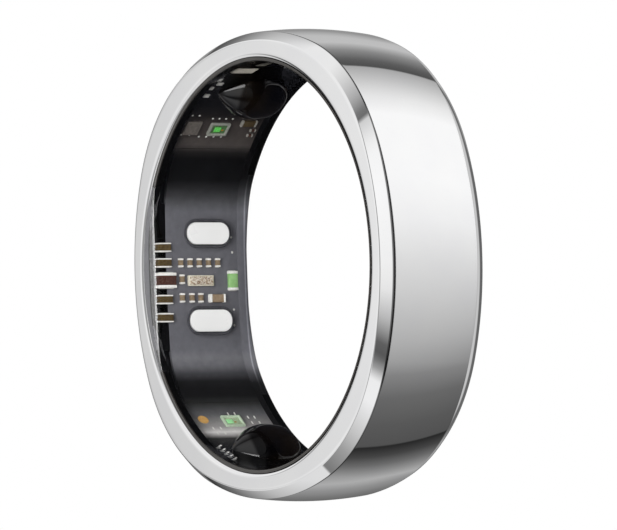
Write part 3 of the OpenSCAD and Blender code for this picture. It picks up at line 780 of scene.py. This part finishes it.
def buildFlex(name, side, replaced):
    # A ribbon: flat on the board up to the bend, and then its radius runs evenly to the sensor
    # board's while the angle goes on. Its back keeps one radius
    bendAngle = math.pi - math.atan2(flex["bendZ"], flex["boardX"])
    share = np.linspace(0, 1, flex["rows"])
    angle = bendAngle + (math.radians(flex["end"]) - bendAngle) * share
    radius = math.hypot(flex["bendZ"], flex["boardX"])
    radius += (flex["endRadius"] - radius) * share
    start = math.pi - math.atan2(flex["boardZ"], flex["boardX"])
    backAngle = np.linspace(angle[-1], start, flex["rows"])
    x = np.concatenate([[-flex["boardX"]], radius * np.cos(angle), flex["back"] * np.cos(backAngle)])
    z = np.concatenate([[flex["boardZ"]], radius * np.sin(angle), flex["back"] * np.sin(backAngle)])
    lean = flex["frontLean"] * (z - flex["boardZ"]) / (z.max() - flex["boardZ"])
    y = np.stack([flex["front"] + lean, np.full_like(z, flex["rear"])])
    grid = np.stack(np.broadcast_arrays(x[None], y, side * z[None]), -1)[::side]
    makePiece(name, [gridSurface(grid, closeRows=False)], [flexFilmPaintedSheen], [replaced],
              sharp=30)


buildFlex("upperFlex", 1, "upper_flex")
buildFlex("lowerFlex", -1, "lower_flex")
buildLining()
buildRimFilm("frontRimFilm", -1, frontLacquerPaintedReflection)
buildRimFilm("rearRimFilm", 1, rearLacquerPaintedSheen)
print("lining and rim films")


# Sensor domes

dome = {
    # "angle" is from the platform's middle round to the dome's, in degrees
    "angle": 62, "halfLength": 2.3, "halfWidth": 1.7, "height": 1.35, "root": 0.3, "y": 0.45,
    "frontTaper": 0.72, "rearTaper": 0.3, "taperPower": 1.6, "heightKept": 0.5,
    "stretchAngle": 0.2,  # radians to each side of the middle, over which the capsule is long
    "around": 96, "along": 64,
}


def buildDome(name, side, replaced):
    # A leaf along the finger: the rings of a capsule, each drawn in by a power of how near it is to
    # the end, fully across and by half in height. Whatever of it would lie under the root is lifted
    # on to the root's cylinder
    ball = (dome["halfWidth"] ** 2 + dome["height"] ** 2) / (2 * dome["height"])
    stretch = dome["halfLength"] - dome["halfWidth"]
    rise = np.linspace(-0.5, 0.5, dome["along"])[:, None] * np.pi
    turn = fullTurn(dome["around"])[None]
    longer = np.minimum(1, np.abs(rise) / dome["stretchAngle"])
    y = ball * np.sin(rise) + stretch * np.sign(rise) * longer
    end = y / y.max()
    taper = np.where(y < 0, dome["frontTaper"], dome["rearTaper"])
    leaf = 1 - taper * np.abs(end) ** dome["taperPower"]
    x = ball * np.cos(rise) * np.cos(turn) * leaf
    z = ball * np.cos(rise) * np.sin(turn) + dome["height"] - ball
    kept = dome["heightKept"]
    z = (z + dome["root"]) * (kept + (1 - kept) * leaf) - dome["root"]
    deep = band["bore"] - np.sqrt((band["bore"] + dome["root"]) ** 2 - x ** 2)
    grid = np.stack([x, np.broadcast_to(y, x.shape), np.maximum(z, deep)], -1)
    place = onWall(180 - side * dome["angle"], dome["y"], band["bore"])
    makePiece(name, moved([gridSurface(grid, closeRows=False)], place), [smokedEpoxy],
              [replaced], sharp=50)


buildDome("upperDome", 1, "upper_sensor_dome")
buildDome("lowerDome", -1, "lower_sensor_dome")
print("domes")


# Charging contacts and their seals

# "off" is the seal's distance from the contact, "flat" half the straight between two corner arcs
seal = {"thick": 0.16, "off": 0.05, "flat": 0.03, "x": 10.66, "steps": 12}


def buildContact(name, side, replaced):
    # Round-ended rings: straight up the side, round the edge, and over a slightly crowned top
    thick, edge = contact["thick"], contact["edge"]
    bend = np.linspace(0, 0.5 * np.pi, contact["edgeSteps"])
    shoulder = thick - contact["shoulder"] - edge * (1 - np.sin(bend))
    rings = [(edge, 0), (0, edge), *zip(edge * (1 - np.cos(bend)), shoulder)]
    rings += [(inset, thick - under) for inset, under in contact["crown"]]
    pad = ringStack(contact["length"], contact["width"], contact["corner"] * contact["width"],
                    rings, steps=contact["cornerSteps"])
    place = onBoard(contact["y"], side * contact["pitch"] / 2, contact["top"] + thick)
    makePiece(name, moved([pad], place), [contactPlating], [replaced], sharp=40)


def buildSeal(name, side, replaced):
    # A round-section ring: the contact's outline, pushed out by the ring's section all round
    turn, sideX, sideY = cornerArcs(seal["steps"])
    centreX = seal["flat"] * sideX
    centreY = 0.5 * (contact["length"] - contact["width"]) * sideY
    section = fullTurn(seal["steps"])[:, None]
    inner = contact["width"] / 2 - seal["flat"] + seal["off"]
    reach = inner + 0.5 * seal["thick"] * (1 + np.cos(section))
    height = 0.5 * seal["thick"] * np.sin(section)
    grid = np.stack(np.broadcast_arrays(
        centreX + reach * np.cos(turn), centreY + reach * np.sin(turn), height), -1)
    place = onBoard(contact["y"], side * contact["pitch"] / 2, seal["x"])
    makePiece(name, moved([gridSurface(grid)], place), [sealRubber], [replaced])


for word, side in (("upper", 1), ("lower", -1)):
    buildContact(word + "Contact", side, word + "_contact_pad")
    buildSeal(word + "Seal", side, word + "_contact_seal")
print("contacts")


# Small parts on the main board

mainBoardX = 11.2


def onMainBoard(y, z):
    return onBoard(y, z, mainBoardX)


def repeated(surfaces, spot, places):
    # the same surfaces at each place on the board that "spot" stands for
    return [part for place in places for part in moved(surfaces, spot(*place))]


chipShape = {
    "edge": 0.025, "inset": 0.02,
    # the solder on each end, as shares of the end's length, the width and the height, and its edge
    "solder": (0.4, 0.8, 0.3), "solderEdge": 0.02,
}


def chip(long, wide, high, end, soldered):
    # A ceramic body on Y between two plated ends, which stand a hair proud of it. Where the solder
    # shows, it climbs each end as a small block
    edge, inset = chipShape["edge"], chipShape["inset"]
    solder = np.array([end, wide, high]) * chipShape["solder"]
    parts = [softBlock(long - end, wide - 2 * inset, high - inset, edge)]
    parts += [softBlock(end, wide, high, edge, 1, (0, way * (long - end) / 2, 0)) for way in (-1, 1)]
    if soldered:
        parts += [softBlock(*solder, chipShape["solderEdge"], 2, (0, way * 0.5 * long, 0))
                  for way in (-1, 1)]
    return parts


def buildChips(name, node, places, size, upright, finish, slot, spot):
    # the finish is the body's, the ends' and, where the solder shows, the solder's
    one = chip(*size, soldered=len(finish) == 3)
    one = turned(one) if upright else one
    makePiece(name, repeated(one, spot, places), finish, [node], sharp=35)


boardChips = {
    # name: node, places as (y, z), (long, wide, high, end), upright, finish, slot
    "upperCapacitors": ("upper_capacitor_row", [(y, 0.84) for y in (-1.3, -0.67, -0.04, 0.59, 1.22)],
                        (0.5, 0.29, 0.3, 0.1), True, capacitorCeramic, "capacitor_ceramic"),
    "lowerCapacitors": ("lower_capacitor_row", [(y, -1.18) for y in (-1.27, -0.62, -0.01)],
                        (0.52, 0.29, 0.3, 0.1), True, capacitorCeramic, "capacitor_ceramic"),
    "singleCapacitor": ("single_capacitor", [(-1.25, -0.11)],
                        (0.54, 0.29, 0.3, 0.1), True, capacitorCeramic, "capacitor_ceramic"),
    "bulkCapacitor": ("bulk_capacitor", [(1.09, -1.21)],
                      (1.06, 0.48, 0.36, 0.14), False, bulkCeramic, "bulk_ceramic"),
    "antennaChip": ("chip_antenna", [(2.2, -0.2)],
                    (1.12, 0.62, 0.36, 0.16), True, antennaCeramic, "antenna_ceramic"),
    "edgeCapacitors": ("edge_capacitors", [(-2.38, z) for z in (1.73, 0.84, -1.27, -2.32)],
                       (0.52, 0.84, 0.34, 0.075), True, edgeCeramic, "edge_ceramic"),
    "edgeInductor": ("edge_inductor", [(-2.25, -0.17)],
                     (0.88, 1.1, 0.38, 0.17), True, ferrite, "inductor_ferrite"),
}
for name, (node, places, size, upright, body, slot) in boardChips.items():
    buildChips(name, node, places, size, upright, [body, tinPlate, solderMetal], slot, onMainBoard)


def buildLidded(name, node, spot, settings, finish):
    # A tray with a lid a little smaller than itself
    blocks = [softBlock(*settings["tray"], 1), softBlock(*settings["lid"])]
    makePiece(name, moved(blocks, spot(*settings["at"])), finish, [node], sharp=35)


# place as (y, z), and blocks as (long, wide, high, edge)
crystal = {"at": (0.03, -0.19), "tray": (1.71, 0.61, 0.24, 0.03), "lid": (1.55, 0.47, 0.32, 0.02)}
buildLidded("crystalPackage", "crystal_package", onMainBoard, crystal,
            [crystalCeramic, crystalFrame])


def bead(wide, high):
    # A drop that wets a nearly round pad: rings of a flattened ball, up to near its top
    rise = np.linspace(0, 0.42 * np.pi, 5)
    rings = list(zip(0.5 * wide * (1 - np.cos(rise)), high * np.sin(rise)))
    return ringStack(wide, wide, 0.47 * wide, rings)


testPoints = {"y": 2.3, "heights": (2.31, 1.44, -1.86, -2.79), "bead": (0.14, 0.03)}
pointPlaces = [(testPoints["y"], z) for z in testPoints["heights"]]
makePiece("testPoints", repeated([bead(*testPoints["bead"])], onMainBoard, pointPlaces),
          [solderMetal], ["test_points"])
print("main board parts")


# Small parts on the curved sensor boards

sensorBoard = {"radius": 12.07, "sink": 0.03}


def onSensorBoard(angle, y):
    return onWall(angle, y, sensorBoard["radius"] + sensorBoard["sink"])


lightTray = {
    # (long, wide, corner), and rings (inset, height): up the outside, over the eased rim and down
    # a slanting inner wall to the floor
    "size": (1.3, 0.94, 0.06),
    "rings": [(0, 0), (0, 0.29), (0.01, 0.31), (0.03, 0.32), (0.1, 0.32), (0.12, 0.31),
              (0.14, 0.28), (0.17, 0.2)],
    "floor": (0.98, 0.62, 0.04), "floorRings": [(0, 0.17), (0.01, 0.205), (0.03, 0.21)],
    # blocks are (long, wide, high, edge), and the bond wire stands off from the die
    "die": (0.42, 0.34, 0.28, 0.02), "wire": (0.16, 0.1, 0.235, 0.02), "wireOff": (0.05, 0.36),
}
lightPackages = {
    # name: nodes, angle and y, the die's place on the floor, frame, floor and die
    "upperLight": (["upper_led_package", "upper_led_die"], (134.4, -0.1), (0, -0.1),
                   (ledFrame, dieFloor, lightDie)),
    "lowerLight": (["lower_led_package", "lower_led_die"], (226.3, 0.08), (0.05, -0.25),
                   (greenFrame, paleFloor, paleDie)),
}


def buildLightPackage(name, nodes, place, diePlace, finish):
    # An open tray with a floor plate, and on that the die and its bond wire
    x, y = diePlace
    wireX, wireY = lightTray["wireOff"]
    parts = [ringStack(*lightTray["size"], lightTray["rings"]),
             ringStack(*lightTray["floor"], lightTray["floorRings"], 1),
             softBlock(*lightTray["die"], 2, (x, y, 0)),
             softBlock(*lightTray["wire"], 3, (x + wireX, y + wireY, 0))]
    makePiece(name, moved(parts, onSensorBoard(*place)), [*finish, goldPlate],
              nodes, sharp=35)


for name, settings in lightPackages.items():
    buildLightPackage(name, *settings)

wallChips = {
    # name: node, places as (angle, y), (long, wide, high, end), upright, finish, slot
    "sensorCapacitor": ("sensor_capacitor", [(132.1, 1.76)], (1.06, 0.46, 0.3, 0.14), False,
                        [edgeCeramic, tinPaintedShade], "bulk_ceramic"),
    "sensorResistors": ("sensor_resistors", [(134.8, 2.28), (136.6, 2.22)], (0.4, 0.2, 0.2, 0.1),
                        False, [ferrite, tinPaintedShade], "resistor_ceramic"),
    "edgePassives": ("edge_passives", [(111.6, -2.45), (114, -2.1), (116.6, -2.45), (120.4, -2.3)],
                     (0.3, 0.4, 0.2, 0.11), True, [solderMetal, tinPlate], "passive_ends"),
}
for name, settings in wallChips.items():
    buildChips(name, *settings, onSensorBoard)

solderJoints = {
    # name: node, places as (angle, y), shape
    "upperJoints": ("upper_solder_joints",
                    [(129.5, -2.27), (129.5, -1.8), (136.8, -2.39), (136.8, -1.84)]
                    + [(130.6, -0.8 + 0.45 * k) for k in range(4)]
                    + [(137.4, -1.15 + 0.5 * k) for k in range(4)], bead(0.14, 0.08)),
    "lowerJoints": ("lower_solder_joints",
                    [(224.5, 1.31), (224.5, 1.75), (226.8, 1.36), (226.8, 1.87), (223, 0.1),
                     (223, 0.55), (229, -1.5), (229, -1), (231.4, -1.45), (231.4, -0.95)],
                    softBlock(0.09, 0.24, 0.07, 0.02)),
}
for name, (node, places, shape) in solderJoints.items():
    makePiece(name, repeated([shape], onSensorBoard, places), [solderMetal], [node])

# place as (angle, y)
motionSensor = {"at": (103.9, -1.68), "tray": (1.5, 0.9, 0.14, 0.02), "lid": (1.42, 0.82, 0.34, 0.05)}
buildLidded("motionSensor", "motion_sensor", onSensorBoard, motionSensor, [lidMetal, greyPackage])

fingers = {
    # the foot and the spring as (long, wide, high, edge), and how the spring leans
    "foot": (0.3, 0.16, 0.05, 0.015), "spring": (0.09, 0.1, 0.6, 0.02), "lean": 0.42, "back": 0.13,
    # the first one's angle, the step to the next, and the row's place along the finger
    "angle": 239.2, "pitch": 2.15, "y": -2.3, "count": 5,
}


def buildConnectorFingers():
    # Each finger is a short foot, and a thin spring that leans along the finger axis as it rises:
    # its points go on by "lean" times their height, from "back" behind the foot's middle
    spring, faces, kind = softBlock(*fingers["spring"])
    spring = spring + spring[:, 2:] * [0, fingers["lean"], 0] - [0, fingers["back"], 0]
    finger = [softBlock(*fingers["foot"]), (spring, faces, kind)]
    places = [(fingers["angle"] + fingers["pitch"] * k, fingers["y"]) for k in range(fingers["count"])]
    makePiece("connectorFingers", repeated(finger, onSensorBoard, places), [tinPlate],
              ["connector_fingers"], sharp=35)


buildConnectorFingers()
print("sensor board parts")


# CAD parts that keep their mesh get their finish here

# The sensor boards' solder mask: brown-black by the upper dome with one pale patch of painted sheen
# above the light package, and by the lower dome a bright band of painted sheen on grey
upperMaskPaintedSheen = solderMask("brownBlackSolderMask", [
    (-13, "#050505"), (6.9, "#080808"), (7.3, "#1F1D1C"), (7.7, "#4A4542"), (8.8, "#433D3A"),
    (9.3, "#1E1B1A"), (9.9, "#060505"), (13, "#030303")])
lowerMaskPaintedSheen = solderMask("greyBlackSolderMask", [
    (-13, "#050505"), (-10.6, "#0A0A09"), (-9.75, "#3C3B39"), (-9.5, "#C4C1BF"), (-9.35, "#EAE7E5"),
    (-9.2, "#C8C5C3"), (-9, "#9F9C9B"), (-8.64, "#878685"), (-8.28, "#646466"), (-7.93, "#4B4B4C"),
    (-7.57, "#2B2C2A"), (-7.1, "#101010"), (13, "#050505")])
finishes = {
    "contact_posts": goldPlate, "main_board": boardMaskPaintedSheen, "front_rail": railPlastic,
    "system_chip": packagePlastic, "memory_chip": packagePlastic, "power_chip": packagePlastic,
    "upper_sensor_board": upperMaskPaintedSheen, "lower_sensor_board": lowerMaskPaintedSheen,
    "upper_photodiode": siliconDie, "lower_photodiode": siliconDie,
    "front_end_chip": greyPackage, "temperature_pad": paleGold,
    "battery_cell": pouchFoil, "battery_adhesive": pressureTape, "battery_film": amberFilm,
    "battery_seal": pouchFoil, "battery_tab_positive": nickelTab, "battery_tab_negative": nickelTab,
    "protection_board": greenLacquer, "protection_chip": packagePlastic,
}
for name, material in finishes.items():
    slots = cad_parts[name].data.materials
    slots.clear()
    slots.append(material)
print("CAD finishes:", len(finishes))


# Lamps, card and floor

# The outer pieces, which the lamp for what lies inside must not reach
skins = ("metalBand", "clearLining", "upperContact", "lowerContact", "upperDome", "lowerDome")
insideParts = [part.name for part in bpy.context.scene.objects
               if part.type == "MESH" and not part.hide_render and part.name not in skins]
lamps = {
    # name: middle, what it faces, size, radiance, what it lights
    # two boxes give the resin's front edge its highlight, bright on the right and dim on the left
    "frontStrip": ((46, -70, 0), (46, 0, 0), (62, 120), 4.5, ["clearLining"]),
    "frontBox": ((-16, -70, 0), (-16, 0, 0), (62, 120), 1.6, ["clearLining"]),
    # a fill brings the white contacts up to their colour
    "contactFill": ((45, -60, 25), (-10, 0, 0), (40, 40), 2.6, ["upperContact", "lowerContact"]),
    # another reaches what lies inside the resin, over the front rim
    "insideFill": ((62, -60, 4), (-11, 0, 0), (60, 60), 6.0, insideParts),
}


def buildLamp(name, at, aim, size, radiance, lit):
    # The power of a plane lamp is four times its area times its radiance
    data = bpy.data.lights.new(name, "AREA")
    data.shape = "RECTANGLE"
    data.size, data.size_y = size[0] * mm, size[1] * mm
    data.energy = 4 * data.size * data.size_y * radiance
    lamp = addObject(name, data)
    at, aim = Vector(at) * mm, Vector(aim) * mm
    turn = (aim - at).to_track_quat("-Z", "Y").to_matrix().to_4x4()
    lamp.matrix_world = Matrix.Translation(at) @ turn
    lamp.visible_camera = False
    lamp.visible_transmission = False
    group = bpy.data.collections.new(name + "Lights")
    for piece in lit:
        group.objects.link(bpy.data.objects[piece])
    lamp.light_linking.receiver_collection = group


for name, settings in lamps.items():
    buildLamp(name, *settings)

# A dark disc behind the ring, seen only in reflections, keeps the resin from mirroring the room
rearCard = {"radius": 11.3, "y": 3.62, "corners": 64}


def buildCard(name, radius, y, corners):
    # One flat face across the finger axis, its corners evenly round a circle
    points = aroundAxis(radius, y, fullTurn(corners))
    card = addMesh(name, points, [list(range(corners))], [cardboard])
    for seenBy in ("camera", "diffuse", "transmission", "shadow", "volume_scatter"):
        setattr(card, "visible_" + seenBy, False)


# Uncoated dark grey board: dead matt, so that its reflection is an even grey
cardboard = mottled("greyCardboard", "#42434A", "#46474E", 1, 1.0, wetted)
buildCard("rearCard", **rearCard)

# A matt white painted floor, 6 m across and 30 mm under the ring's middle
floor = {"half": 3000, "height": -30}
floorPaint = mottled("paintedFloor", "#F4F4F4", "#F2F2F2", 40, 0.8)
floorCorners = np.array([(-1, -1, 0), (1, -1, 0), (1, 1, 0), (-1, 1, 0)]) * floor["half"]
floorObject = addMesh("floor", floorCorners + [0, 0, floor["height"]], [(0, 1, 2, 3)], [floorPaint])
floorObject.visible_glossy = False
print("lamps, card and floor")
